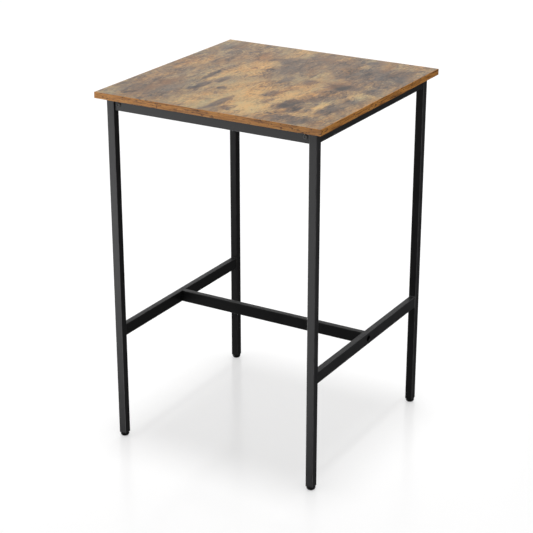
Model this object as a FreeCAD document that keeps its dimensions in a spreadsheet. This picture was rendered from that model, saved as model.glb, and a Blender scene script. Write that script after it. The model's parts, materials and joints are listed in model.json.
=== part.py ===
import FreeCAD, Part
import math
import os
import Sketcher

# Square pub table on a welded and bolted steel tube frame, in millimetres.
# +X runs along the front edge to the right, +Y to the back, +Z up.
# The origin is on the floor, under the middle of the top.

SIZES = [
    # Top board and its edge bands
    ("table_height", 900.0),
    ("top_width", 600.0),
    ("top_depth", 600.0),
    ("top_thickness", 15.0),
    ("band_thickness", 1.0),
    ("band_rounding", 0.5),
    # How far the top stands out past the legs, on each side
    ("top_overhang", 20.0),
    # Square leg tubes
    ("leg_side", 20.0),
    ("leg_wall", 1.2),
    ("leg_corner", 2.0),
    # Flat tubes of the rails and stretchers
    ("rail_width", 15.0),
    ("rail_height", 30.0),
    ("rail_wall", 1.2),
    ("rail_corner", 1.5),
    ("least_corner", 0.2),
    # Rails stand back from the outside of the legs, stretchers are centred on the legs
    ("rail_inset", 5.0),
    ("stretcher_top", 303.0),
    ("bolted_end_gap", 0.2),
    # Tongues on the legs that carry the front and rear rails
    ("tongue_length", 24.0),
    ("tongue_gap", 2.8),
    ("tongue_thickness", 4.0),
    # Button head bolts of the rails, placed from the legs' faces
    ("rail_bolt_place", 11.0),
    ("bolt_size", 6.0),
    ("bolt_gap", 0.3),
    ("thread_gap", 0.05),
    ("button_head_size", 10.5),
    ("button_head_height", 3.3),
    ("button_rounding", 2.2),
    ("rail_bolt_length", 10.0),
    ("button_key_flats", 4.0),
    ("button_key_depth", 2.0),
    # Cap bolts of the centre stretcher, reached through the access holes
    ("cap_head_size", 10.0),
    ("cap_head_height", 6.0),
    ("cap_rounding", 0.6),
    ("stretcher_bolt_length", 16.0),
    ("cap_key_flats", 5.0),
    ("cap_key_depth", 3.0),
    ("access_gap", 3.0),
    ("end_plate_thickness", 8.0),
    ("end_plate_gap", 0.1),
    # Pan head screws that hold the top, placed from the legs' faces
    ("screw_place", 100.0),
    ("screw_core", 3.4),
    ("screw_cover", 3.2),
    ("screw_point", 2.5),
    ("screw_head_size", 8.0),
    ("screw_head_height", 2.6),
    ("screw_head_rounding", 1.2),
    ("screw_hole_gap", 0.6),
    ("screw_access_gap", 1.0),
    ("pilot_gap", 0.05),
    ("pilot_spare", 1.0),
    # Plastic plugs in the lower ends of the legs
    ("insert_rim", 1.0),
    ("insert_length", 24.0),
    ("insert_core_gap", 0.8),
    ("insert_fin_gap", 0.05),
    ("insert_fin_thickness", 1.2),
    ("insert_fin_start", 4.0),
    ("insert_fin_end", 3.8),
    ("insert_fin_count", 4),
    # Levellers: round pads on threaded stems
    ("pad_size", 22.0),
    ("pad_height", 9.0),
    ("pad_foot_size", 16.5),
    ("pad_curve_height", 3.5),
    ("pad_foot_rounding", 1.5),
    ("pad_side_rounding", 4.0),
    ("pad_edge", 0.8),
    ("stem_size", 8.0),
    ("stem_length", 32.0),
    ("stem_tip", 0.8),
    ("stem_gap", 0.1),
    ("stem_head_flats", 13.0),
    ("stem_head_height", 5.0),
    ("stem_head_gap", 0.05),
]

doc = FreeCAD.newDocument("pub_table")
dims = doc.addObject("Spreadsheet::Sheet", "dims")
for row, (alias, value) in enumerate(SIZES, start=1):
    dims.set(f"A{row}", alias)
    dims.set(f"B{row}", str(value))
    dims.setAlias(f"B{row}", alias)
doc.recompute()

# Places and sizes that several pieces share, worked out from the sheet
UNDER_TOP = "(dims.table_height - dims.top_thickness)"
LEG_FOOT = "(dims.pad_height + dims.insert_rim)"
FRAME_X = "(dims.top_width / 2 - dims.top_overhang)"
FRAME_Y = "(dims.top_depth / 2 - dims.top_overhang)"
LEG_X = f"({FRAME_X} - dims.leg_side / 2)"
LEG_Y = f"({FRAME_Y} - dims.leg_side / 2)"
LEG_BORE = "(dims.leg_side - 2 * dims.leg_wall)"
LEG_BORE_CORNER = "max(dims.leg_corner - dims.leg_wall; dims.least_corner)"
INNER_X = f"({FRAME_X} - dims.leg_side)"
INNER_Y = f"({FRAME_Y} - dims.leg_side)"
RAIL_FACE_Y = f"({FRAME_Y} - dims.rail_inset)"
RAIL_X = f"({FRAME_X} - dims.rail_inset - dims.rail_width / 2)"
RAIL_Y = f"({RAIL_FACE_Y} - dims.rail_width / 2)"
RAIL_Z = f"({UNDER_TOP} - dims.rail_height / 2)"
RAIL_BORE_WIDTH = "(dims.rail_width - 2 * dims.rail_wall)"
RAIL_BORE_HEIGHT = "(dims.rail_height - 2 * dims.rail_wall)"
RAIL_BORE_CORNER = "max(dims.rail_corner - dims.rail_wall; dims.least_corner)"
RAIL_BOLT_X = f"({INNER_X} - dims.rail_bolt_place)"
STRETCHER_Z = "(dims.stretcher_top - dims.rail_height / 2)"
STRETCHER_INNER_X = f"({LEG_X} - dims.rail_width / 2)"
CENTRE_HALF_LENGTH = f"({STRETCHER_INNER_X} - dims.bolted_end_gap)"
BOLT_HOLE = "(dims.bolt_size + 2 * dims.bolt_gap)"
TAPPED_HOLE = "(dims.bolt_size + 2 * dims.thread_gap)"
SCREW_SEAT_Z = f"({UNDER_TOP} - dims.rail_wall)"
SCREW_X = f"({INNER_X} - dims.screw_place)"
SCREW_Y = f"({INNER_Y} - dims.screw_place)"
PILOT_DEPTH = "(dims.top_thickness - dims.screw_cover)"
SCREW_LENGTH = f"({PILOT_DEPTH} - dims.pilot_spare + dims.rail_wall)"

SIDES = {"left": -1, "right": 1}
ENDS = {"front": -1, "rear": 1}
CORNERS = [(f"{end}_{side}", SIDES[side], ENDS[end]) for end in ENDS for side in SIDES]

nodes = []


def keep(piece, label):
    """Names a piece and notes that it is one of the table's own pieces."""
    piece.Label = label
    nodes.append(piece)
    return piece


def value_of(expression):
    return float(dims.evalExpression(expression))


def place(piece, x="0", y="0", z="0", turn=0.0, axis=(0, 0, 1)):
    """Puts a piece at x, y, z, given as expressions, turned by an angle in degrees."""
    rotation = FreeCAD.Rotation(FreeCAD.Vector(*axis), turn)
    piece.Placement = FreeCAD.Placement(FreeCAD.Vector(), rotation)
    piece.setExpression("Placement.Base.x", x)
    piece.setExpression("Placement.Base.y", y)
    piece.setExpression("Placement.Base.z", z)


# Sketches

def new_body(name):
    return doc.addObject("PartDesign::Body", name)


def origin_feature(body, role):
    return next(feature for feature in body.Origin.OriginFeatures if feature.Role == role)


def new_sketch(body, role, name, lift=None):
    """A sketch on one of the body's origin planes, lifted off it by an expression if one is given."""
    sketch = body.newObject("Sketcher::SketchObject", name)
    sketch.AttachmentSupport = [(origin_feature(body, role), "")]
    sketch.MapMode = "FlatFace"
    if lift is not None:
        sketch.setExpression("AttachmentOffset.Base.z", lift)
    return sketch


def bind(sketch, constraint, expression, name):
    """Adds a dimension to a sketch and ties it to an expression."""
    index = sketch.addConstraint(constraint)
    sketch.renameConstraint(index, name)
    sketch.setExpression(f"Constraints.{name}", expression)


def draw_loop(sketch, points):
    """Closed straight lines through points, with their ends joined; gives the first line's number."""
    first = sketch.GeometryCount
    count = len(points)
    corners = [FreeCAD.Vector(x, y, 0) for x, y in points]
    for i in range(count):
        sketch.addGeometry(Part.LineSegment(corners[i], corners[(i + 1) % count]), False)
    for i in range(count):
        sketch.addConstraint(Sketcher.Constraint("Coincident", first + i, 2, first + (i + 1) % count, 1))
    return first


def draw_rectangle(sketch, width, height, from_axis=False):
    """A rectangle about the sketch's origin, or with its left side on the vertical axis."""
    wide, high = value_of(width), value_of(height)
    left = 0.0 if from_axis else -wide / 2
    draw_loop(sketch, [(left, -high / 2), (left + wide, -high / 2), (left + wide, high / 2), (left, high / 2)])
    for line in (0, 2):
        sketch.addConstraint(Sketcher.Constraint("Horizontal", line))
    for line in (1, 3):
        sketch.addConstraint(Sketcher.Constraint("Vertical", line))
    opposite = (2, 2) if from_axis else (1, 2)
    sketch.addConstraint(Sketcher.Constraint("Symmetric", 0, 1, *opposite, -1, 1))
    bind(sketch, Sketcher.Constraint("DistanceX", 0, 1, 0, 2, wide), width, "width")
    bind(sketch, Sketcher.Constraint("DistanceY", 1, 1, 1, 2, high), height, "height")


def draw_rounded_rectangle(sketch, width, height, corner, name):
    """A rectangle with round corners about the sketch's origin: four lines, and an arc after each."""
    first = sketch.GeometryCount
    half_wide, half_high, radius = value_of(width) / 2, value_of(height) / 2, value_of(corner)
    flat_x, flat_y = half_wide - radius, half_high - radius
    lines = [
        ((-flat_x, -half_high), (flat_x, -half_high)),
        ((half_wide, -flat_y), (half_wide, flat_y)),
        ((flat_x, half_high), (-flat_x, half_high)),
        ((-half_wide, flat_y), (-half_wide, -flat_y)),
    ]
    centres = [(flat_x, -flat_y), (flat_x, flat_y), (-flat_x, flat_y), (-flat_x, -flat_y)]
    for side in range(4):
        start, end = (FreeCAD.Vector(x, y, 0) for x, y in lines[side])
        sketch.addGeometry(Part.LineSegment(start, end), False)
        circle = Part.Circle(FreeCAD.Vector(*centres[side], 0), FreeCAD.Vector(0, 0, 1), radius)
        begin = math.radians(90 * side - 90)
        sketch.addGeometry(Part.ArcOfCircle(circle, begin, begin + math.pi / 2), False)
    for side in range(4):
        line, arc = first + 2 * side, first + 2 * side + 1
        following = first + (2 * side + 2) % 8
        sketch.addConstraint(Sketcher.Constraint("Tangent", line, 2, arc, 1))
        sketch.addConstraint(Sketcher.Constraint("Tangent", arc, 2, following, 1))
        sketch.addConstraint(Sketcher.Constraint("Horizontal" if side % 2 == 0 else "Vertical", line))
        if side > 0:
            sketch.addConstraint(Sketcher.Constraint("Equal", first + 1, arc))
    bottom, right, top, left = (first + 2 * side for side in range(4))
    sketch.addConstraint(Sketcher.Constraint("Symmetric", bottom, 1, top, 1, -1, 1))
    bind(sketch, Sketcher.Constraint("DistanceX", left, 1, right, 1, 2 * half_wide), width, f"{name}_width")
    bind(sketch, Sketcher.Constraint("DistanceY", bottom, 1, top, 1, 2 * half_high), height, f"{name}_height")
    bind(sketch, Sketcher.Constraint("Radius", first + 1, radius), corner, f"{name}_corner")


def draw_circle(sketch, diameter, across=None):
    """A circle on the sketch's origin, or on its horizontal axis a distance across from it."""
    radius = value_of(diameter) / 2
    middle = 0.0 if across is None else value_of(across)
    circle = Part.Circle(FreeCAD.Vector(middle, 0, 0), FreeCAD.Vector(0, 0, 1), radius)
    number = sketch.addGeometry(circle, False)
    if across is None:
        sketch.addConstraint(Sketcher.Constraint("Coincident", number, 3, -1, 1))
    else:
        sketch.addConstraint(Sketcher.Constraint("PointOnObject", number, 3, -1))
        bind(sketch, Sketcher.Constraint("DistanceX", -1, 1, number, 3, middle), across, "across")
    bind(sketch, Sketcher.Constraint("Diameter", number, 2 * radius), diameter, "diameter")


def draw_circle_pair(sketch, diameter, across, along=None):
    """Two equal circles mirrored about the vertical axis, on the horizontal axis if along is left out."""
    radius, x = value_of(diameter) / 2, value_of(across)
    y = 0.0 if along is None else value_of(along)
    for side in (1, -1):
        circle = Part.Circle(FreeCAD.Vector(side * x, y, 0), FreeCAD.Vector(0, 0, 1), radius)
        sketch.addGeometry(circle, False)
    sketch.addConstraint(Sketcher.Constraint("Equal", 0, 1))
    sketch.addConstraint(Sketcher.Constraint("Symmetric", 0, 3, 1, 3, -2))
    bind(sketch, Sketcher.Constraint("Diameter", 0, 2 * radius), diameter, "diameter")
    bind(sketch, Sketcher.Constraint("DistanceX", -1, 1, 0, 3, x), across, "across")
    if along is None:
        sketch.addConstraint(Sketcher.Constraint("PointOnObject", 0, 3, -1))
    else:
        bind(sketch, Sketcher.Constraint("DistanceY", -1, 1, 0, 3, y), along, "along")


def draw_hexagon(sketch, flats):
    """A regular hexagon about the sketch's origin, with a corner on the horizontal axis."""
    reach = value_of(flats) / 2 / math.cos(math.radians(30))
    turns = [math.radians(60 * i) for i in range(6)]
    draw_loop(sketch, [(reach * math.cos(a), reach * math.sin(a)) for a in turns])
    circle = Part.Circle(FreeCAD.Vector(), FreeCAD.Vector(0, 0, 1), reach)
    ring = sketch.addGeometry(circle, True)
    sketch.addConstraint(Sketcher.Constraint("Coincident", ring, 3, -1, 1))
    for line in range(6):
        sketch.addConstraint(Sketcher.Constraint("PointOnObject", line, 1, ring))
    for line in range(1, 6):
        sketch.addConstraint(Sketcher.Constraint("Equal", 0, line))
    sketch.addConstraint(Sketcher.Constraint("PointOnObject", 0, 1, -1))
    bind(sketch, Sketcher.Constraint("Radius", ring, reach), f"{flats} / 2 / cos(30 deg)", "reach")


def draw_profile(sketch, points):
    """A closed half profile to turn about the vertical axis; each point is a radius and a height."""
    places = [(value_of(radius), value_of(height)) for radius, height in points]
    draw_loop(sketch, places)
    for line, (radius, height) in enumerate(points):
        if radius == "0":
            sketch.addConstraint(Sketcher.Constraint("PointOnObject", line, 1, -2))
        else:
            across = Sketcher.Constraint("DistanceX", -1, 1, line, 1, places[line][0])
            bind(sketch, across, radius, f"radius_{line}")
        if height == "0":
            sketch.addConstraint(Sketcher.Constraint("PointOnObject", line, 1, -1))
        else:
            up = Sketcher.Constraint("DistanceY", -1, 1, line, 1, places[line][1])
            bind(sketch, up, height, f"height_{line}")


# Features

def add_pad(body, sketch, length, symmetric=False, name="Pad"):
    pad = body.newObject("PartDesign::Pad", name)
    pad.Profile = sketch
    pad.SideType = "Symmetric" if symmetric else "One side"
    pad.setExpression("Length", length)
    doc.recompute()
    return pad


def add_pocket(body, sketch, length=None, reverse=False, name="Pocket"):
    """Cuts a sketch out of a body, through it both ways if no length is given, and makes sure that it cut."""
    before = body.Shape.Volume
    pocket = body.newObject("PartDesign::Pocket", name)
    pocket.Profile = sketch
    pocket.Reversed = reverse
    if length is None:
        pocket.SideType = "Symmetric"
        pocket.Type = "ThroughAll"
    else:
        pocket.setExpression("Length", length)
    doc.recompute()
    if not body.Shape.Volume < before:
        raise RuntimeError(f"{body.Name}: {name} cut nothing")
    return pocket


def add_mirror(body, feature, role, name="Mirrored"):
    mirror = body.newObject("PartDesign::Mirrored", name)
    mirror.Originals = [feature]
    mirror.MirrorPlane = (origin_feature(body, role), [""])
    body.Tip = mirror
    doc.recompute()
    return mirror


def add_revolution(body, sketch, name="Revolution"):
    revolution = body.newObject("PartDesign::Revolution", name)
    revolution.Profile = sketch
    revolution.ReferenceAxis = (sketch, ["V_Axis"])
    revolution.Angle = 360.0
    doc.recompute()
    return revolution


def add_edge_feature(body, kind, base, edges, size_name, size, name):
    feature = body.newObject(f"PartDesign::{kind}", name)
    feature.Base = (base, edges)
    feature.setExpression(size_name, size)
    doc.recompute()
    return feature


def add_fillet(body, base, edges, radius, name="Fillet"):
    return add_edge_feature(body, "Fillet", base, edges, "Radius", radius, name)


def add_chamfer(body, base, edges, size, name="Chamfer"):
    return add_edge_feature(body, "Chamfer", base, edges, "Size", size, name)


def round_edges(feature, radius, height):
    """Names of a turned feature's circular edges of a radius at a height, both given as expressions."""
    near = 1e-4
    names = []
    for number, edge in enumerate(feature.Shape.Edges, start=1):
        if not isinstance(edge.Curve, Part.Circle):
            continue
        same_radius = abs(edge.Curve.Radius - value_of(radius)) < near
        if same_radius and abs(edge.Curve.Center.z - value_of(height)) < near:
            names.append(f"Edge{number}")
    return names


def edges_on_face_y(feature, y):
    """Names of a feature's straight edges along X that lie at a given y."""
    near = 1e-4
    names = []
    for number, edge in enumerate(feature.Shape.Edges, start=1):
        box = edge.BoundBox
        if box.YLength < near and box.ZLength < near and abs(box.YMin - value_of(y)) < near:
            names.append(f"Edge{number}")
    return names


# Top board and edge bands

def make_top_board():
    body = new_body("top_board")
    outline = new_sketch(body, "XY_Plane", "Outline")
    draw_rectangle(outline, "dims.top_width - 2 * dims.band_thickness", "dims.top_depth - 2 * dims.band_thickness")
    add_pad(body, outline, "dims.top_thickness", name="Board")
    pilot = "dims.screw_core + 2 * dims.pilot_gap"
    rows = {"EndRailPilots": (SCREW_X, RAIL_Y), "SideRailPilots": (RAIL_X, SCREW_Y)}
    for name, (across, along) in rows.items():
        holes = new_sketch(body, "XY_Plane", f"{name}Sketch")
        draw_circle_pair(holes, pilot, across, along)
        cut = add_pocket(body, holes, PILOT_DEPTH, reverse=True, name=name)
        add_mirror(body, cut, "XZ_Plane", f"{name}Mirrored")
    place(body, z=UNDER_TOP)
    return keep(body, "top_board")


def make_band(label, length, x, y, turn):
    """An edge band along its own X, with its outer face on its own -Y side and that face's long edges eased."""
    body = new_body(label)
    section = new_sketch(body, "YZ_Plane", "Section")
    draw_rectangle(section, "dims.band_thickness", "dims.top_thickness")
    strip = add_pad(body, section, length, symmetric=True, name="Strip")
    edges = edges_on_face_y(strip, "-dims.band_thickness / 2")
    add_fillet(body, strip, edges, "min(dims.band_rounding; dims.band_thickness / 2)", "EasedEdges")
    place(body, x, y, "dims.table_height - dims.top_thickness / 2", turn)
    return keep(body, label)


def make_bands():
    for end, sign in ENDS.items():
        y = f"{sign} * (dims.top_depth / 2 - dims.band_thickness / 2)"
        make_band(f"edge_band_{end}", "dims.top_width", "0", y, 90 + 90 * sign)
    for side, sign in SIDES.items():
        x = f"{sign} * (dims.top_width / 2 - dims.band_thickness / 2)"
        make_band(f"edge_band_{side}", "dims.top_depth - 2 * dims.band_thickness", x, "0", 90 * sign)


# Tubes of the frame

def make_leg(corner, side, end):
    body = new_body(f"leg_{corner}")
    section = new_sketch(body, "XY_Plane", "Section")
    draw_rounded_rectangle(section, "dims.leg_side", "dims.leg_side", "dims.leg_corner", "outside")
    draw_rounded_rectangle(section, LEG_BORE, LEG_BORE, LEG_BORE_CORNER, "inside")
    add_pad(body, section, f"{UNDER_TOP} - {LEG_FOOT}", name="Tube")
    place(body, f"{side} * {LEG_X}", f"{end} * {LEG_Y}", LEG_FOOT)
    return keep(body, f"leg_{corner}")


def make_flat_tube(label, length):
    """A rail or stretcher tube along its own X, about its own middle."""
    body = new_body(label)
    section = new_sketch(body, "YZ_Plane", "Section")
    draw_rounded_rectangle(section, "dims.rail_width", "dims.rail_height", "dims.rail_corner", "outside")
    draw_rounded_rectangle(section, RAIL_BORE_WIDTH, RAIL_BORE_HEIGHT, RAIL_BORE_CORNER, "inside")
    add_pad(body, section, length, symmetric=True, name="Tube")
    return keep(body, label)


def drill_screw_holes(rail, along):
    """Screw holes in a rail's upper wall, with wider holes under them for the screwdriver."""
    for name, size, upward in (
        ("ScrewHoles", "dims.screw_core + 2 * dims.screw_hole_gap", True),
        ("ScrewAccess", "dims.screw_head_size + 2 * dims.screw_access_gap", False),
    ):
        holes = new_sketch(rail, "XY_Plane", f"{name}Sketch")
        draw_circle_pair(holes, size, along)
        add_pocket(rail, holes, "dims.rail_height", reverse=upward, name=name)


def make_bolted_rail(end, sign):
    """A rail between the side frames, bolted through its outer wall, which is on its own -Y side."""
    rail = make_flat_tube(f"{end}_rail", f"2 * ({INNER_X} - dims.bolted_end_gap)")
    drill_screw_holes(rail, SCREW_X)
    holes = new_sketch(rail, "XZ_Plane", "BoltHolesSketch")
    draw_circle_pair(holes, BOLT_HOLE, RAIL_BOLT_X)
    add_pocket(rail, holes, "dims.rail_width", reverse=True, name="BoltHoles")
    place(rail, "0", f"{sign} * {RAIL_Y}", RAIL_Z, 90 + 90 * sign)


def make_side_rail(side, sign):
    rail = make_flat_tube(f"side_rail_{side}", f"2 * {INNER_Y}")
    drill_screw_holes(rail, SCREW_Y)
    place(rail, f"{sign} * {RAIL_X}", "0", RAIL_Z, 90 * sign)


def make_side_stretcher(side, sign):
    """A stretcher between two legs, with an access hole in its outer wall and a bolt hole in its inner wall."""
    tube = make_flat_tube(f"side_stretcher_{side}", f"2 * {INNER_Y}")
    for name, size, outward in (
        ("AccessHole", "dims.cap_head_size + 2 * dims.access_gap", True),
        ("BoltHole", BOLT_HOLE, False),
    ):
        hole = new_sketch(tube, "XZ_Plane", f"{name}Sketch")
        draw_circle(hole, size)
        add_pocket(tube, hole, "dims.rail_width", reverse=outward, name=name)
    place(tube, f"{sign} * {LEG_X}", "0", STRETCHER_Z, 90 * sign)


def make_centre_stretcher():
    tube = make_flat_tube("centre_stretcher", f"2 * {CENTRE_HALF_LENGTH}")
    place(tube, z=STRETCHER_Z)


def make_end_plate(side, sign):
    """A tapped plate that fills the end of the centre stretcher."""
    body = new_body(f"stretcher_end_plate_{side}")
    section = new_sketch(body, "YZ_Plane", "Section")
    width = f"{RAIL_BORE_WIDTH} - 2 * dims.end_plate_gap"
    height = f"{RAIL_BORE_HEIGHT} - 2 * dims.end_plate_gap"
    draw_rounded_rectangle(section, width, height, RAIL_BORE_CORNER, "plate")
    draw_circle(section, TAPPED_HOLE)
    add_pad(body, section, "dims.end_plate_thickness", symmetric=True, name="Plate")
    place(body, f"{sign} * ({CENTRE_HALF_LENGTH} - dims.end_plate_thickness / 2)", "0", STRETCHER_Z)
    keep(body, f"stretcher_end_plate_{side}")


def make_tongue(corner, side, end):
    """A tapped plate on a leg's inner face, flat against the inside of the rail's outer wall."""
    body = new_body(f"rail_tongue_{corner}")
    outline = new_sketch(body, "XZ_Plane", "Outline")
    height = f"{RAIL_BORE_HEIGHT} - 2 * dims.tongue_gap"
    draw_rectangle(outline, "dims.tongue_length", height, from_axis=True)
    draw_circle(outline, TAPPED_HOLE, "dims.rail_bolt_place")
    add_pad(body, outline, "dims.tongue_thickness", symmetric=True, name="Plate")
    y = f"{end} * ({RAIL_FACE_Y} - dims.rail_wall - dims.tongue_thickness / 2)"
    place(body, f"{side} * {INNER_X}", y, RAIL_Z, 90 + 90 * side)
    keep(body, f"rail_tongue_{corner}")


# Fasteners

def make_socket_bolt(name, size, length, head_size, head_height, rounding, key_flats, key_depth):
    """A socket bolt with its tip on its own origin and its head up."""
    body = new_body(name)
    profile = new_sketch(body, "XZ_Plane", "Profile")
    top = f"{length} + {head_height}"
    points = [
        ("0", "0"),
        (f"{size} / 2", "0"),
        (f"{size} / 2", length),
        (f"{head_size} / 2", length),
        (f"{head_size} / 2", top),
        ("0", top),
    ]
    draw_profile(profile, points)
    turned = add_revolution(body, profile, "Blank")
    head = add_fillet(body, turned, round_edges(turned, f"{head_size} / 2", top), rounding, "HeadRounding")
    add_chamfer(body, head, round_edges(head, f"{size} / 2", "0"), f"{size} / 10", "TipChamfer")
    socket = new_sketch(body, "XY_Plane", "SocketSketch", lift=top)
    draw_hexagon(socket, key_flats)
    add_pocket(body, socket, key_depth, name="Socket")
    return body


def make_screw(name):
    """A pan head screw with its head on its own origin and its point up."""
    body = new_body(name)
    profile = new_sketch(body, "XZ_Plane", "Profile")
    tip = f"dims.screw_head_height + {SCREW_LENGTH}"
    points = [
        ("0", "0"),
        ("dims.screw_head_size / 2", "0"),
        ("dims.screw_head_size / 2", "dims.screw_head_height"),
        ("dims.screw_core / 2", "dims.screw_head_height"),
        ("dims.screw_core / 2", f"{tip} - dims.screw_point"),
        ("0", tip),
    ]
    draw_profile(profile, points)
    turned = add_revolution(body, profile, "Blank")
    rim = round_edges(turned, "dims.screw_head_size / 2", "0")
    add_fillet(body, turned, rim, "dims.screw_head_rounding", "HeadRounding")
    return body


def mirrored(source, normal):
    copy = doc.addObject("Part::Mirroring", f"{source.Name}_mirrored")
    copy.Source = source
    copy.Normal = FreeCAD.Vector(*normal)
    return copy


def four_corners(source):
    """A piece and its copies in the other three corners of the frame."""
    across = mirrored(source, (1, 0, 0))
    return [source, across, mirrored(source, (0, 1, 0)), mirrored(across, (0, 1, 0))]


def keep_group(label, pieces):
    group = doc.addObject("Part::Compound", label)
    group.Links = pieces
    return keep(group, label)


def make_rail_bolts():
    bolt = make_socket_bolt(
        "rail_bolt", "dims.bolt_size", "dims.rail_bolt_length", "dims.button_head_size",
        "dims.button_head_height", "dims.button_rounding", "dims.button_key_flats", "dims.button_key_depth",
    )
    tip_y = f"-({RAIL_FACE_Y} - dims.rail_bolt_length)"
    place(bolt, f"-{RAIL_BOLT_X}", tip_y, RAIL_Z, 90, (1, 0, 0))
    keep_group("rail_bolts", four_corners(bolt))


def make_stretcher_bolts():
    bolt = make_socket_bolt(
        "stretcher_bolt", "dims.bolt_size", "dims.stretcher_bolt_length", "dims.cap_head_size",
        "dims.cap_head_height", "dims.cap_rounding", "dims.cap_key_flats", "dims.cap_key_depth",
    )
    tip_x = f"-({STRETCHER_INNER_X} + dims.rail_wall - dims.stretcher_bolt_length)"
    place(bolt, tip_x, "0", STRETCHER_Z, -90, (0, 1, 0))
    keep_group("stretcher_bolts", [bolt, mirrored(bolt, (1, 0, 0))])


def make_top_screws():
    screws = []
    places = {
        "end_rail_screw": (f"-{SCREW_X}", f"-{RAIL_Y}"),
        "side_rail_screw": (f"-{RAIL_X}", f"-{SCREW_Y}"),
    }
    for name, (x, y) in places.items():
        screw = make_screw(name)
        place(screw, x, y, f"{SCREW_SEAT_Z} - dims.screw_head_height")
        screws += four_corners(screw)
    keep_group("top_screws", screws)


# Feet

def make_foot_insert(corner, side, end):
    """A plug for a leg's lower end: a rim under the tube, a core, and fins that grip the tube's walls."""
    body = new_body(f"foot_insert_{corner}")
    rim = new_sketch(body, "XY_Plane", "RimSketch")
    draw_rounded_rectangle(rim, "dims.leg_side", "dims.leg_side", "dims.leg_corner", "rim")
    add_pad(body, rim, "dims.insert_rim", name="Rim")
    core = new_sketch(body, "XY_Plane", "CoreSketch")
    core_side = f"{LEG_BORE} - 2 * dims.insert_core_gap"
    draw_rectangle(core, core_side, core_side)
    add_pad(body, core, "dims.insert_length", name="Core")
    fin_sketch = new_sketch(body, "XY_Plane", "FinSketch", lift="dims.insert_fin_start")
    fin_side = f"{LEG_BORE} - 2 * dims.insert_fin_gap"
    draw_rounded_rectangle(fin_sketch, fin_side, fin_side, LEG_BORE_CORNER, "fin")
    fin = add_pad(body, fin_sketch, "dims.insert_fin_thickness", name="Fin")
    fins = body.newObject("PartDesign::LinearPattern", "Fins")
    fins.Originals = [fin]
    fins.Direction = (origin_feature(body, "Z_Axis"), [""])
    fins.setExpression("Occurrences", "dims.insert_fin_count")
    fin_space = "dims.insert_length - dims.insert_fin_start - dims.insert_fin_end"
    fins.setExpression("Length", f"{fin_space} - dims.insert_fin_thickness")
    body.Tip = fins
    doc.recompute()
    bore = new_sketch(body, "XY_Plane", "BoreSketch")
    draw_circle(bore, "dims.stem_size + 2 * dims.stem_gap")
    add_pocket(body, bore, name="Bore")
    place(body, f"{side} * {LEG_X}", f"{end} * {LEG_Y}", "dims.pad_height")
    keep(body, f"foot_insert_{corner}")


def make_leveller_pad(corner, side, end):
    """A round foot, drawn in towards the floor, with a hexagonal pocket for the stem's head."""
    body = new_body(f"leveller_pad_{corner}")
    profile = new_sketch(body, "XZ_Plane", "Profile")
    points = [
        ("0", "0"),
        ("dims.pad_foot_size / 2", "0"),
        ("dims.pad_size / 2", "dims.pad_curve_height"),
        ("dims.pad_size / 2", "dims.pad_height"),
        ("0", "dims.pad_height"),
    ]
    draw_profile(profile, points)
    shaped = add_revolution(body, profile, "Blank")
    roundings = [
        ("FootRounding", "dims.pad_foot_size / 2", "0", "dims.pad_foot_rounding"),
        ("SideRounding", "dims.pad_size / 2", "dims.pad_curve_height", "dims.pad_side_rounding"),
        ("TopRounding", "dims.pad_size / 2", "dims.pad_height", "dims.pad_edge"),
    ]
    for name, radius, height, size in roundings:
        shaped = add_fillet(body, shaped, round_edges(shaped, radius, height), size, name)
    pocket = new_sketch(body, "XY_Plane", "HeadPocketSketch", lift="dims.pad_height")
    draw_hexagon(pocket, "(dims.stem_head_flats + 2 * dims.stem_head_gap)")
    add_pocket(body, pocket, "dims.stem_head_height", name="HeadPocket")
    place(body, f"{side} * {LEG_X}", f"{end} * {LEG_Y}")
    keep(body, f"leveller_pad_{corner}")


def make_leveller_stem(corner, side, end):
    """A threaded stud whose hexagonal head sits in the pad, flush with its upper face."""
    body = new_body(f"leveller_stem_{corner}")
    head = new_sketch(body, "XY_Plane", "HeadSketch")
    draw_hexagon(head, "dims.stem_head_flats")
    add_pad(body, head, "dims.stem_head_height", name="Head")
    shank = new_sketch(body, "XY_Plane", "ShankSketch")
    draw_circle(shank, "dims.stem_size")
    stud = add_pad(body, shank, "dims.stem_head_height + dims.stem_length", name="Shank")
    tip = round_edges(stud, "dims.stem_size / 2", "dims.stem_head_height + dims.stem_length")
    add_chamfer(body, stud, tip, "dims.stem_tip", "TipChamfer")
    place(body, f"{side} * {LEG_X}", f"{end} * {LEG_Y}", "dims.pad_height - dims.stem_head_height")
    keep(body, f"leveller_stem_{corner}")


# The whole table

make_top_board()
make_bands()
for end_name, end_sign in ENDS.items():
    make_bolted_rail(end_name, end_sign)
for side_name, side_sign in SIDES.items():
    make_side_rail(side_name, side_sign)
    make_side_stretcher(side_name, side_sign)
    make_end_plate(side_name, side_sign)
make_centre_stretcher()
for corner_name, corner_side, corner_end in CORNERS:
    make_leg(corner_name, corner_side, corner_end)
    make_tongue(corner_name, corner_side, corner_end)
    make_foot_insert(corner_name, corner_side, corner_end)
    make_leveller_pad(corner_name, corner_side, corner_end)
    make_leveller_stem(corner_name, corner_side, corner_end)
make_rail_bolts()
make_stretcher_bolts()
make_top_screws()
doc.recompute()

for item in doc.Objects:
    if "Invalid" in item.State or "Error" in item.State:
        raise RuntimeError(f"{item.Label} failed: {item.State}")
for piece in nodes:
    if piece.Shape.isNull() or not piece.Shape.isValid():
        raise RuntimeError(f"{piece.Label} has no valid shape")

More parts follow.
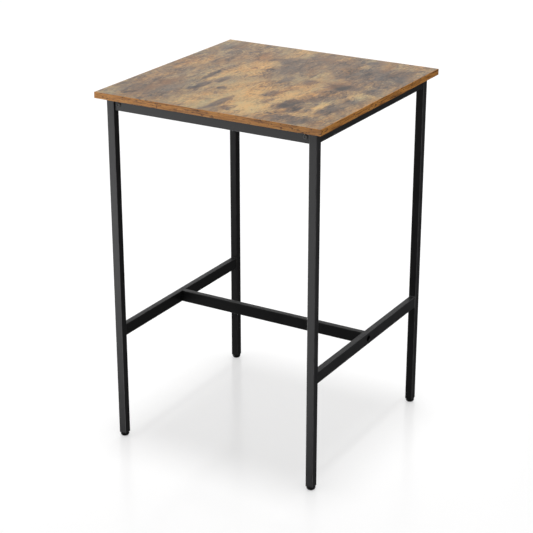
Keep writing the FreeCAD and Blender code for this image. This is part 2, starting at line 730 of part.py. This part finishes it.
os.makedirs("parts", exist_ok=True)
for piece in nodes:
    piece.Shape.exportStep(f"parts/{piece.Label}.step")
    box = piece.Shape.BoundBox
    print(
        f"{piece.Label}: {len(piece.Shape.Solids)} solid, {piece.Shape.Volume:.0f} mm3, "
        f"x {box.XMin:.1f} to {box.XMax:.1f}, y {box.YMin:.1f} to {box.YMax:.1f}, z {box.ZMin:.1f} to {box.ZMax:.1f}"
    )
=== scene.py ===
import json
import math

import bpy
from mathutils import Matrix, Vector


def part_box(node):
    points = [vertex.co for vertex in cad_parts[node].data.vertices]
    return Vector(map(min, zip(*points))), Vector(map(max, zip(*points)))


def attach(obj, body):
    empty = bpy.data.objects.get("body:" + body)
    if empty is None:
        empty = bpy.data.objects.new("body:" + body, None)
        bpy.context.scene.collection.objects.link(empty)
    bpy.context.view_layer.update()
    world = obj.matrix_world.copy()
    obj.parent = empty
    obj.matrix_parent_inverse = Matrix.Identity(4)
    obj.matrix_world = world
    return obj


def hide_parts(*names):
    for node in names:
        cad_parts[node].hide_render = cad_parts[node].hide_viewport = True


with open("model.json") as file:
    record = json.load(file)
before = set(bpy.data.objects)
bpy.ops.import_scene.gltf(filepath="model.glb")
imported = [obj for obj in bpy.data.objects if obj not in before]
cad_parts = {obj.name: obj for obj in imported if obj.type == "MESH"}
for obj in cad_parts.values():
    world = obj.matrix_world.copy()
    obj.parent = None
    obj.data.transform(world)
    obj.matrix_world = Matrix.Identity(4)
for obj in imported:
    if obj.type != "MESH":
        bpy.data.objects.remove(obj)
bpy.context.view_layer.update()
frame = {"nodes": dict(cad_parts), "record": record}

MM = 0.001
CORNERS = ("front_left", "front_right", "rear_left", "rear_right")


# Shader nodes

class Shader:
    """A material's node tree, with short ways to add its nodes and wire them."""

    def __init__(self, name):
        self.material = bpy.data.materials.new(name)
        self.material.use_nodes = True
        self.tree = self.material.node_tree
        self.tree.nodes.clear()
        self.place = self.add("ShaderNodeTexCoord").outputs["Object"]

    def wire(self, socket, value):
        """Links another node's output to a socket, or sets the socket to a plain value."""
        if isinstance(value, bpy.types.NodeSocket):
            self.tree.links.new(value, socket)
        else:
            socket.default_value = value

    def add(self, kind, *values, **settings):
        """A node whose first inputs, in order, take the values; None leaves an input as it is."""
        node = self.tree.nodes.new(kind)
        for name, setting in settings.items():
            setattr(node, name, setting)
        for socket, value in zip(node.inputs, values):
            if value is not None:
                self.wire(socket, value)
        return node

    def math(self, operation, *values):
        return self.add("ShaderNodeMath", *values, operation=operation).outputs[0]

    def vector(self, operation, *values):
        return self.add("ShaderNodeVectorMath", *values, operation=operation).outputs[0]

    def centred(self, value):
        """A value from 0 to 1, moved to run from -0.5 to 0.5."""
        return self.math("SUBTRACT", value, 0.5)

    def noise(self, scale, detail=3.0, roughness=0.55, at=None):
        """Noise from 0 to 1, with scale features to a metre."""
        at = self.place if at is None else at
        return self.add("ShaderNodeTexNoise", at, None, scale, detail, roughness).outputs[0]

    def streaked(self, counts, detail=3.0, roughness=0.6, at=None):
        """Noise from 0 to 1, with a count of features to a metre for each axis."""
        at = self.place if at is None else at
        return self.noise(1.0, detail, roughness, self.vector("MULTIPLY", at, counts))

    def spread(self, value, low, high, to_low=0.0, to_high=1.0):
        """Maps a range of a value onto another range, without going past it."""
        return self.add("ShaderNodeMapRange", value, low, high, to_low, to_high).outputs[0]

    def ramp(self, value, stops):
        """Colours at places from 0 to 1, blended between."""
        node = self.add("ShaderNodeValToRGB", value)
        steps = node.color_ramp.elements
        while len(steps) < len(stops):
            steps.new(1.0)
        for step, (position, colour) in zip(steps, stops):
            step.position = position
            step.color = (*colour, 1.0)
        return node.outputs[0]

    def mix(self, share, first, second):
        """Blends two colours, given as sockets or as red, green and blue."""
        node = self.add("ShaderNodeMix", data_type="RGBA")
        self.wire(node.inputs["Factor"], share)
        for name, colour in (("A", first), ("B", second)):
            socket = next(entry for entry in node.inputs if entry.name == name and entry.type == "RGBA")
            self.wire(socket, (*colour, 1.0) if isinstance(colour, tuple) else colour)
        return next(entry for entry in node.outputs if entry.type == "RGBA")

    def edges(self):
        """1 where a surface turns between two faces that square with the axes, and 0 on those faces."""
        on_a_face, on_the_turn = 0.995, 0.75
        normal = self.add("ShaderNodeTexCoord").outputs["Normal"]
        axes = self.add("ShaderNodeSeparateXYZ", self.vector("ABSOLUTE", normal)).outputs
        largest = self.math("MAXIMUM", self.math("MAXIMUM", axes[0], axes[1]), axes[2])
        return self.spread(largest, on_a_face, on_the_turn)

    def bump(self, height, depth, base=None):
        """A bump of a depth in metres, on top of another bump if one is given."""
        node = self.add("ShaderNodeBump")
        self.wire(node.inputs["Height"], height)
        self.wire(node.inputs["Distance"], depth)
        if base is not None:
            self.wire(node.inputs["Normal"], base)
        return node.outputs[0]

    def finish(self, **inputs):
        """Ends the tree in a Principled shader; input names have _ for spaces."""
        shader = self.add("ShaderNodeBsdfPrincipled")
        for name, value in inputs.items():
            socket = shader.inputs[name.replace("_", " ")]
            self.wire(socket, (*value, 1.0) if isinstance(value, tuple) else value)
        output = self.add("ShaderNodeOutputMaterial")
        self.wire(output.inputs["Surface"], shader.outputs[0])
        return self.material


# Wood decor, with the top's grain along Y

# Weathered patches, in millimetres from the middle of the top: x, y, half width, half length along
# the grain, and how much darker or, below 0, paler the patch is.
PATCHES = [
    (-200, -190, 95, 130, 0.22),
    (-230, -35, 75, 80, 0.09),
    (-200, 110, 30, 100, 0.11),
    (-240, 235, 70, 60, 0.16),
    (0, 195, 75, 115, 0.22),
    (-20, 85, 55, 80, 0.21),
    (-64, 178, 38, 30, 0.18),
    (40, 108, 45, 45, 0.09),
    (36, -108, 45, 45, 0.10),
    (112, 200, 70, 95, 0.16),
    (212, 188, 96, 96, 0.24),
    (262, 135, 60, 90, 0.20),
    (165, 118, 80, 50, 0.15),
    (178, 28, 52, 48, 0.35),
    (264, 24, 36, 38, 0.22),
    (190, -52, 44, 36, 0.06),
    (184, -108, 36, 46, 0.12),
    (158, -184, 36, 30, 0.21),
    (262, -84, 38, 24, 0.17),
    (252, -152, 34, 62, 0.30),
    (204, -264, 90, 36, 0.27),
    (-54, -222, 36, 17, 0.22),
    (-88, 78, 58, 105, -0.32),
    (-62, 258, 55, 55, -0.20),
    (-36, 36, 40, 45, -0.10),
    (-10, -85, 85, 100, -0.21),
    (-36, -175, 45, 50, -0.11),
    (-55, -240, 75, 70, -0.22),
    (45, -160, 75, 125, -0.29),
    (80, -240, 75, 70, -0.29),
    (112, -55, 38, 125, -0.38),
    (97, 80, 28, 50, -0.12),
    (242, -24, 66, 32, -0.22),
    (216, -217, 60, 20, -0.14),
    (250, 132, 26, 30, -0.12),
    (225, 258, 60, 34, -0.10),
]

# Knots, dark slivers and pale ones, given in the same way.
MARKS = [
    (-145, -25, 15, 48, 0.23),
    (-48, 62, 18, 40, 0.12),
    (-92, 78, 10, 13, 0.28),
    (-100, -52, 14, 40, 0.25),
    (-119, -112, 13, 44, 0.32),
    (-66, -117, 11, 19, 0.34),
    (-124, -152, 13, 18, 0.32),
    (32, 18, 15, 42, 0.23),
    (92, 23, 15, 28, 0.36),
    (177, 26, 36, 30, 0.24),
    (148, 262, 22, 42, 0.23),
    (62, -106, 19, 40, 0.36),
    (88, -152, 10, 38, 0.27),
    (123, -62, 7, 40, 0.25),
    (138, -152, 22, 46, 0.36),
    (-3, -222, 15, 70, 0.38),
    (37, -252, 22, 24, 0.38),
    (-128, -14, 19, 75, -0.21),
    (212, -132, 16, 46, -0.38),
    (142, 218, 17, 36, -0.34),
    (-238, 60, 22, 60, -0.08),
]


def add_spots(skin, tone, spots, at, rim):
    """Adds oval spots to a tone; each fades out over a rim that is a share of its half size."""
    for x, y, half_width, half_length, depth in spots:
        mapping = skin.add("ShaderNodeMapping", at, vector_type="TEXTURE")
        mapping.inputs["Location"].default_value = (x * MM, y * MM, 0.0)
        mapping.inputs["Scale"].default_value = (half_width * MM, half_length * MM, 1.0)
        spot = skin.add("ShaderNodeTexGradient", mapping.outputs[0], gradient_type="SPHERICAL").outputs[1]
        tone = skin.math("ADD", tone, skin.spread(spot, 0.0, rim, 0.0, depth))
    return tone


def weathered_tone(skin, ragged, frayed):
    """How dark the decor is, from 0 to 1: clouds, patches, marks, crisp blotches and fine cracks."""
    clouds = skin.streaked((8.0, 3.6, 1.0), 5.0, 0.65, ragged)
    tone = skin.spread(clouds, 0.3, 0.7, 0.265, 0.505)
    tone = add_spots(skin, tone, PATCHES, at=ragged, rim=0.6)
    tone = add_spots(skin, tone, MARKS, at=frayed, rim=0.4)
    blotches = skin.streaked((48.0, 20.0, 1.0), 5.0, 0.65, frayed)
    tone = skin.math("ADD", tone, skin.spread(blotches, 0.57, 0.63, 0.0, 0.24))
    tone = skin.math("SUBTRACT", tone, skin.spread(blotches, 0.43, 0.36, 0.0, 0.18))
    veins = skin.streaked((40.0, 13.0, 1.0), at=frayed)
    off_vein = skin.math("ABSOLUTE", skin.centred(veins))
    cracks = skin.spread(off_vein, 0.010, 0.034, 1.0, 0.0)
    cracked = skin.spread(skin.streaked((17.0, 10.2, 1.0), at=ragged), 0.52, 0.60, 0.0, 0.34)
    return skin.math("MULTIPLY_ADD", cracks, cracked, tone)


def make_laminate():
    """Rustic wood decor, golden with grey-brown weathered patches, under a satin film."""
    skin = Shader("laminate_top")
    flat = skin.vector("MULTIPLY", skin.place, (1.0, 1.0, 0.0))
    along_grain = skin.vector("MULTIPLY", flat, (1.0, 0.5, 1.0))
    wander = skin.add("ShaderNodeTexNoise", along_grain, None, 42.0, 4.0, 0.62).outputs[1]
    wander = skin.vector("SUBTRACT", wander, (0.5, 0.5, 0.5))
    ragged = skin.vector("MULTIPLY_ADD", wander, (60 * MM, 100 * MM, 0.0), flat)
    frayed = skin.vector("MULTIPLY_ADD", wander, (20 * MM, 34 * MM, 0.0), flat)

    streaks = skin.streaked((75.0, 9.0, 1.0), 4.0, at=ragged)
    mottling = skin.streaked((120.0, 42.0, 1.0), 5.0, 0.7, flat)
    flecks = skin.streaked((260.0, 95.0, 1.0), at=flat)
    fibres = skin.streaked((520.0, 26.0, 1.0))
    pores = skin.streaked((900.0, 90.0, 1.0), 2.0, 0.5)
    texture = 0.0
    for part, share in ((streaks, 0.45), (mottling, 1.00), (flecks, 0.85), (fibres, 0.50)):
        texture = skin.math("MULTIPLY_ADD", skin.centred(part), share, texture)
    lively = skin.spread(skin.streaked((15.0, 7.5, 1.0), 4.0, at=ragged), 0.42, 0.60, 0.45, 1.25)
    tone = skin.math("MULTIPLY_ADD", texture, lively, weathered_tone(skin, ragged, frayed))

    decor = skin.ramp(tone, [
        (0.00, (0.600, 0.385, 0.150)),
        (0.25, (0.415, 0.260, 0.112)),
        (0.50, (0.212, 0.135, 0.080)),
        (0.75, (0.101, 0.071, 0.055)),
        (1.00, (0.044, 0.036, 0.032)),
    ])
    russet, dark_speck, dark_pore = (0.300, 0.140, 0.048), (0.040, 0.030, 0.024), (0.060, 0.038, 0.022)
    warm = skin.streaked((14.0, 4.9, 14.0), 4.0)
    decor = skin.mix(skin.spread(warm, 0.54, 0.70, 0.0, 0.45), decor, russet)
    rust = skin.centred(skin.streaked((9.0, 4.5, 1.0), 9.0, 0.82, flat))
    tint = skin.vector("MULTIPLY_ADD", rust, (1.45, -0.36, -2.65), (1.0, 1.0, 1.0))
    decor = skin.vector("MULTIPLY", decor, tint)
    specks = skin.streaked((210.0, 95.0, 1.0), at=flat)
    decor = skin.mix(skin.spread(specks, 0.62, 0.70, 0.0, 0.75), decor, dark_speck)
    decor = skin.mix(skin.spread(pores, 0.62, 0.74, 0.0, 0.45), decor, dark_pore)

    roughness = skin.spread(streaks, 0.2, 0.8, 0.36, 0.46)
    relief = skin.bump(fibres, 0.12 * MM)
    relief = skin.bump(pores, 0.08 * MM, relief)
    return skin.finish(Base_Color=decor, Roughness=roughness, Normal=relief, IOR=1.85)


def make_edge_band():
    """The decor's edge strip: orange-brown, with dark streaks along it and a paler eased corner."""
    skin = Shader("edge_band")
    streaks = skin.streaked((22.0, 22.0, 420.0), 4.0, 0.62)
    flecks = skin.streaked((95.0, 95.0, 330.0))
    clouds = skin.noise(11.0, 3.0, 0.5)
    tone = skin.math("MULTIPLY_ADD", skin.centred(clouds), 0.2, streaks)
    colour = skin.ramp(tone, [
        (0.34, (0.140, 0.054, 0.015)),
        (0.45, (0.430, 0.174, 0.036)),
        (0.56, (0.570, 0.240, 0.050)),
        (0.68, (0.640, 0.310, 0.080)),
    ])
    dark_fleck, pale_wood = (0.060, 0.026, 0.011), (0.540, 0.330, 0.150)
    colour = skin.mix(skin.spread(flecks, 0.56, 0.64, 0.0, 0.85), colour, dark_fleck)
    paler_edges = skin.math("MULTIPLY", skin.edges(), skin.spread(skin.noise(60.0), 0.4, 0.7, 0.1, 0.5))
    colour = skin.mix(paler_edges, colour, pale_wood)
    roughness = skin.spread(clouds, 0.3, 0.7, 0.40, 0.52)
    relief = skin.bump(streaks, 0.10 * MM)
    return skin.finish(Base_Color=colour, Roughness=roughness, Normal=relief, IOR=1.5)


# Metal and plastic

def make_powder_coat():
    """Satin black powder coat: orange peel, faint clouds, and a paler line along the tubes' corners that is
    partly rubbed wear and partly a painted highlight.
    """
    skin = Shader("powder_coat")
    clouds = skin.noise(18.0, 4.0, 0.6)
    peel = skin.noise(620.0, 2.0, 0.5)
    grit = skin.noise(2600.0, 2.0, 0.5)
    rubbed = skin.noise(45.0, 4.0, 0.65)
    tone = skin.math("MULTIPLY_ADD", skin.centred(grit), 1.2, clouds)
    colour = skin.ramp(tone, [(0.20, (0.012, 0.012, 0.013)), (0.80, (0.026, 0.026, 0.027))])
    # The paler corner line is partly rubbed wear and partly a painted highlight, where the rounded tube
    # corners would catch the light.
    paler_edges = skin.math("MULTIPLY", skin.edges(), skin.spread(rubbed, 0.35, 0.70, 0.30, 0.80))
    colour = skin.mix(paler_edges, colour, (0.180, 0.180, 0.182))
    roughness = skin.math("MULTIPLY_ADD", paler_edges, -0.10, skin.spread(clouds, 0.3, 0.7, 0.36, 0.46))
    roughness = skin.math("MULTIPLY_ADD", skin.centred(grit), 0.30, roughness)
    relief = skin.bump(peel, 0.14 * MM)
    relief = skin.bump(grit, 0.05 * MM, relief)
    return skin.finish(Base_Color=colour, Roughness=roughness, Normal=relief, IOR=1.5)


def make_black_bolt():
    """Black oxide on steel, rubbed brighter on its edges."""
    skin = Shader("black_bolt")
    clouds = skin.noise(160.0, 4.0, 0.6)
    colour = skin.ramp(clouds, [(0.3, (0.055, 0.055, 0.057)), (0.7, (0.088, 0.086, 0.084))])
    paler_edges = skin.math("MULTIPLY", skin.edges(), skin.spread(skin.noise(420.0), 0.45, 0.75, 0.0, 0.5))
    colour = skin.mix(paler_edges, colour, (0.280, 0.275, 0.270))
    roughness = skin.spread(clouds, 0.3, 0.7, 0.48, 0.60)
    relief = skin.bump(skin.noise(1800.0), 0.02 * MM)
    return skin.finish(Base_Color=colour, Metallic=0.15, Roughness=roughness, Normal=relief, IOR=1.6)


def make_zinc_steel():
    """Bright zinc plating, with a faint blue and straw bloom and fine scratches."""
    skin = Shader("zinc_steel")
    bloom = skin.noise(90.0, 3.0, 0.5)
    scratches = skin.streaked((3000.0, 3000.0, 400.0), 2.0, 0.5)
    colour = skin.ramp(bloom, [
        (0.30, (0.560, 0.600, 0.640)),
        (0.50, (0.640, 0.640, 0.620)),
        (0.70, (0.650, 0.600, 0.480)),
    ])
    roughness = skin.spread(scratches, 0.3, 0.7, 0.22, 0.38)
    relief = skin.bump(scratches, 0.01 * MM)
    return skin.finish(Base_Color=colour, Metallic=1.0, Roughness=roughness, Normal=relief)


def make_black_plastic():
    """Moulded black plastic with a fine pebbled skin, scuffed grey where it meets the floor."""
    skin = Shader("black_plastic")
    scuff_height = 3.0 * MM
    pebbles = skin.add("ShaderNodeTexVoronoi", skin.place, None, 1600.0).outputs[0]
    clouds = skin.noise(120.0, 4.0, 0.6)
    colour = skin.ramp(clouds, [(0.3, (0.010, 0.010, 0.011)), (0.7, (0.018, 0.018, 0.019))])
    height = skin.add("ShaderNodeSeparateXYZ", skin.place).outputs[2]
    scuffs = skin.spread(skin.noise(500.0), 0.5, 0.7, 0.0, 0.5)
    scuffed = skin.math("MULTIPLY", skin.spread(height, scuff_height, 0.0), scuffs)
    colour = skin.mix(scuffed, colour, (0.090, 0.088, 0.085))
    roughness = skin.spread(clouds, 0.3, 0.7, 0.46, 0.60)
    relief = skin.bump(pebbles, 0.05 * MM)
    return skin.finish(Base_Color=colour, Roughness=roughness, Normal=relief, IOR=1.5)


MATERIALS = {
    "laminate_top": make_laminate(),
    "edge_band": make_edge_band(),
    "powder_coat": make_powder_coat(),
    "black_bolt": make_black_bolt(),
    "zinc_steel": make_zinc_steel(),
    "black_plastic": make_black_plastic(),
}

for subpart in frame["record"]["subparts"]:
    mesh = frame["nodes"][subpart["node"]].data
    mesh.materials.clear()
    mesh.materials.append(MATERIALS[subpart["material_slot"]])


# Pieces finer than the solids

pieces = dict(frame["nodes"])


def add_piece(name, body, slot, points, faces):
    """A mesh of points in metres, with the slot's material, that moves with a body."""
    mesh = bpy.data.meshes.new(name)
    mesh.from_pydata(points, [], faces)
    mesh.materials.append(MATERIALS[slot])
    piece = bpy.data.objects.new(name, mesh)
    bpy.context.scene.collection.objects.link(piece)
    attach(piece, body)
    pieces[name] = piece
    return piece


def ring_faces(rings, columns, closed=False):
    """Faces between rings of points, and over the two ends unless the last ring joins the first."""
    faces = []
    for ring in range(rings if closed else rings - 1):
        here, there = ring * columns, (ring + 1) % rings * columns
        for column in range(columns):
            beside = (column + 1) % columns
            faces.append((here + column, here + beside, there + beside, there + column))
    if not closed:
        faces.append(tuple(reversed(range(columns))))
        faces.append(tuple(range((rings - 1) * columns, rings * columns)))
    return faces


def add_threaded_stem(corner):
    """A leveller's M8 stud: a hexagonal head, which the pad is moulded on, and a rolled thread."""
    crest, depth, pitch = 4.0 * MM, 0.62 * MM, 1.25 * MM
    flank_slope, flat_root = 1.5, 0.25
    head_height, flats, eased = 5.0 * MM, 13.0 * MM, 0.4 * MM
    columns, rings_per_turn = 18, 6
    node = f"leveller_stem_{corner}"
    low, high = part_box(node)
    middle = (low + high) / 2
    sixth = math.radians(60.0)
    first_corner = 0.0 if high.x - low.x > high.y - low.y else sixth / 2
    angles = [math.tau * column / columns for column in range(columns)]

    def head(angle):
        return flats / 2 / math.cos((angle - first_corner) % sixth - sixth / 2)

    def thread(angle, z):
        rise = abs(2 * ((z / pitch - angle / math.tau) % 1.0) - 1)
        flank = min(max(flank_slope * rise - flat_root, 0.0), 1.0)
        tip = crest - 2 * eased + high.z - z
        return min(crest - depth * (1 - flank), tip)

    shoulder = low.z + head_height
    rings = []
    for z, inset in ((low.z, eased), (low.z + eased, 0.0), (shoulder - eased, 0.0), (shoulder, eased)):
        rings.append((z, [head(angle) - inset for angle in angles]))
    count = round((high.z - shoulder) / pitch * rings_per_turn)
    for step in range(count + 1):
        z = shoulder + (high.z - shoulder) * step / count
        rings.append((z, [thread(angle, z) for angle in angles]))
    points = []
    for z, radii in rings:
        for angle, radius in zip(angles, radii):
            points.append((middle.x + radius * math.cos(angle), middle.y + radius * math.sin(angle), z))
    faces = ring_faces(len(rings), columns)
    piece = add_piece(f"threaded_stem_{corner}", f"leveller_{corner}", "zinc_steel", points, faces)
    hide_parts(node)


ALL_ROUND, BELOW_AND_OUTSIDE = 4, 2


def tube_outline(width, height, rounding, sides):
    """Places and outward directions round some sides of a flat tube's section, from its underside."""
    spacing, arc_steps = 0.5 * MM, 4
    quarter = math.radians(90.0)
    places = []
    for side in range(sides):
        facing = quarter * (side - 1)
        reach, length = (height, width) if side % 2 == 0 else (width, height)
        reach, run = reach / 2 - rounding, length / 2 - rounding
        out = Vector((math.cos(facing), math.sin(facing)))
        along = Vector((-out.y, out.x))
        steps = round(2 * run / spacing)
        for step in range(steps + 1):
            places.append((out * (reach + rounding) + along * (run * (2 * step / steps - 1)), out))
        for step in range(1, arc_steps):
            turned = facing + quarter * step / arc_steps
            round_out = Vector((math.cos(turned), math.sin(turned)))
            places.append((out * reach + along * run + round_out * rounding, round_out))
    return places if sides == ALL_ROUND else places[:1 - arc_steps]


def add_weld(name, tube, corner, sides):
    """A rippled weld bead round a side tube's end, on the leg that it meets."""
    rounding, size, ripple, wave, sunk = 1.5 * MM, 1.6 * MM, 0.22 * MM, 1.7 * MM, 0.35 * MM
    section = [math.radians(angle) for angle in (0, 30, 60, 90)]
    low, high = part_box(tube)
    middle = (low + high) / 2
    outer = math.copysign(1.0, middle.x)
    end, inwards = (low.y, 1.0) if corner.startswith("front") else (high.y, -1.0)
    places = tube_outline(high.x - low.x, high.z - low.z, rounding, sides)
    points = []
    walked = 0.0
    for number, (place, out) in enumerate(places):
        if number:
            walked += (place - places[number - 1][0]).length
        bead = size + ripple * math.sin(math.tau * walked / wave)
        offsets = [(bead * math.cos(angle), bead * math.sin(angle)) for angle in section]
        offsets.append((-sunk, -sunk))
        for sideways, along in offsets:
            spot = place + out * sideways
            points.append((middle.x + outer * spot.x, end + inwards * along, middle.z + spot.y))
    faces = ring_faces(len(places), len(section) + 1, closed=sides == ALL_ROUND)
    add_piece(name, "table", "powder_coat", points, faces)


for corner in CORNERS:
    side = corner.split("_")[1]
    add_threaded_stem(corner)
    add_weld(f"stretcher_weld_{corner}", f"side_stretcher_{side}", corner, ALL_ROUND)
    add_weld(f"rail_weld_{corner}", f"side_rail_{side}", corner, BELOW_AND_OUTSIDE)


# Stage

def make_floor():
    """A round pale floor that sweeps up at its far rim, and throws no light back on the black frame."""
    flat_reach, sweep, drop = 9.0, 5.0, 0.5 * MM
    sweep_steps, columns = 24, 64
    points = []
    for step in range(sweep_steps + 1):
        climb = math.radians(90.0) * step / sweep_steps
        reach, height = flat_reach + sweep * math.sin(climb), sweep * (1 - math.cos(climb))
        for column in range(columns):
            angle = math.tau * column / columns
            points.append((reach * math.cos(angle), reach * math.sin(angle), height))
    open_above = ring_faces(sweep_steps + 1, columns)[:-1]
    mesh = bpy.data.meshes.new("floor")
    mesh.from_pydata(points, [], open_above)
    for polygon in mesh.polygons:
        polygon.use_smooth = len(polygon.vertices) == 4
    mesh.materials.append(Shader("pale_floor").finish(
        Base_Color=(0.48, 0.48, 0.48), Roughness=0.18, IOR=1.4,
        Emission_Color=(1.0, 1.0, 1.0), Emission_Strength=0.475,
    ))
    floor = bpy.data.objects.new("floor", mesh)
    floor.location.z = -drop
    floor.visible_glossy = False
    floor.visible_diffuse = False
    floor.visible_shadow = False
    bpy.context.scene.collection.objects.link(floor)


def make_world():
    """A faint white glow from all round."""
    white, glow = (1.0, 1.0, 1.0, 1.0), 0.065
    world = bpy.data.worlds.new("studio")
    bpy.context.scene.world = world
    world.use_nodes = True
    background = world.node_tree.nodes["Background"]
    background.inputs["Color"].default_value = white
    background.inputs["Strength"].default_value = glow


def add_sun(name, strength, angle):
    """Light from straight above, spread over an angle in degrees, that shows in no reflection."""
    light = bpy.data.lights.new(name, "SUN")
    light.energy = strength
    light.angle = math.radians(angle)
    lamp = bpy.data.objects.new(name, light)
    lamp.visible_glossy = False
    bpy.context.scene.collection.objects.link(lamp)


def add_panel(name, position, target, size, power):
    """A rectangular lamp, with its place, aim and size in metres and its power in watts."""
    light = bpy.data.lights.new(name, "AREA")
    light.shape = "RECTANGLE"
    light.size, light.size_y = size
    light.energy = power
    lamp = bpy.data.objects.new(name, light)
    lamp.location = position
    lamp.rotation_euler = (Vector(target) - Vector(position)).to_track_quat("-Z", "Y").to_euler()
    bpy.context.scene.collection.objects.link(lamp)
    return lamp


def light_only(lamp, chosen):
    """Keeps a lamp's light to the chosen pieces and off the floor, as flags on stands do in a studio."""
    lit = bpy.data.collections.new(f"lit_by_{lamp.name}")
    for name, piece in pieces.items():
        if chosen(name):
            lit.objects.link(piece)
    lamp.light_linking.receiver_collection = lit


def any_piece(name):
    return True


def bolts(name):
    return name == "rail_bolts"


def front_pieces(name):
    """The front's pieces and the bolts, without the feet, which stay dark."""
    foot = name.startswith(("leveller_pad", "foot_insert"))
    return bolts(name) or "front" in name and not foot


def right_pieces(name):
    """The right side's pieces, the bolts and the top's edges, without the top's face."""
    return bolts(name) or "right" in name or name.startswith("edge_band")


def make_lights():
    """Soft light from above, and panels all round that shape the black frame face by face."""
    middle = (0.0, 0.0, 0.5)
    add_sun("overhead", strength=1.5, angle=14.0)
    add_sun("dome", strength=1.7, angle=120.0)
    far_floor = add_panel("far_floor", (-2.4, 4.2, 3.2), (-2.4, 4.2, 0.0), size=(5.0, 4.0), power=85.0)
    far_floor.visible_glossy = False
    front_fill = add_panel("front_fill", (-1.1, -1.0, 0.35), (-1.1, 0.0, 0.35), size=(0.8, 0.7), power=2.0)
    light_only(front_fill, any_piece)
    softbox = add_panel("front_softbox", (-0.45, -0.95, 0.3), (-0.45, 0.0, 0.3), size=(1.6, 1.2), power=7.2)
    light_only(softbox, front_pieces)
    right_fill = add_panel("right_fill", (3.0, 0.2, 1.4), middle, size=(1.2, 1.6), power=28.0)
    light_only(right_fill, right_pieces)
    bolt_fill = add_panel("bolt_fill", (1.0, -1.7, 1.3), (0.0, -0.3, 0.87), size=(0.5, 0.5), power=7.0)
    light_only(bolt_fill, bolts)
    add_panel("back_panel", (-2.2, 3.2, 1.6), middle, size=(3.2, 1.6), power=14.0)
    add_panel("rear_bounce", (-1.1, 2.0, -1.2), middle, size=(1.4, 1.2), power=24.0)
    add_panel("left_bounce", (-2.2, 0.3, -0.8), middle, size=(1.4, 1.2), power=20.0)


def make_camera():
    """The photo's viewpoint: turned to the right of the front and above it, through a long lens."""
    turn, rise = math.radians(30.59), math.radians(21.79)
    distance, aside, aim_height = 3.896, -0.0105, 0.421
    focal_length, sensor = 105.33, 36.0
    back = Vector((math.sin(turn) * math.cos(rise), -math.cos(turn) * math.cos(rise), math.sin(rise)))
    target = Vector((math.cos(turn) * aside, math.sin(turn) * aside, aim_height))
    camera = bpy.data.objects.new("camera", bpy.data.cameras.new("camera"))
    camera.data.lens = focal_length
    camera.data.sensor_width = sensor
    camera.location = target + back * distance
    camera.rotation_euler = (-back).to_track_quat("-Z", "Y").to_euler()
    bpy.context.scene.collection.objects.link(camera)
    bpy.context.scene.camera = camera


make_floor()
make_world()
make_lights()
make_camera()
bpy.context.scene.view_settings.view_transform = "Standard"
